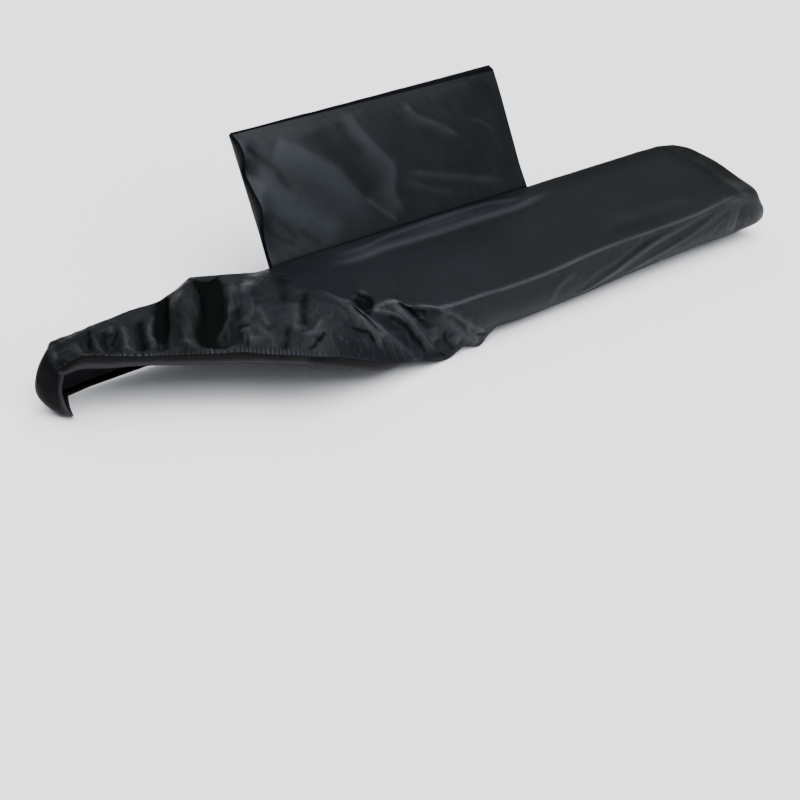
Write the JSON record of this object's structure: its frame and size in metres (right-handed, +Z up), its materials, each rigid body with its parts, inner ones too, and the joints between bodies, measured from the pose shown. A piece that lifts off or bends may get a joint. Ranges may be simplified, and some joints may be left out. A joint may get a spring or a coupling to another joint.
{
  "type": "piano cover",
  "caption": "Long fitted dust cover for a digital piano: soft fabric with a gathered elastic hem, its front left hem turned up, and an upright hood at the rear edge for the music rest.",
  "frame": {"origin": "underside of the top panel at its middle, where the cover rests on the instrument's top", "axes": "+X along the cover to its right end, +Y from the front to the rear where the hood stands, +Z up"},
  "size_m": [1.3767, 0.3913, 0.313],
  "materials": {
    "cover_fabric": "black closely woven polyester with a soft sheen, creased and gathered",
    "elastic": "black fabric casing drawn smooth over elastic, slightly satin",
    "hood_fabric": "black closely woven polyester with a soft blue grey sheen and long creases"
  },
  "bodies": {
    "root": {"cover_cloth": "cover_fabric", "elastic_band": "elastic", "hood_front_panel": "hood_fabric", "hood_back_panel": "hood_fabric", "hood_gusset": "hood_fabric"}
  },
  "joints": []
}
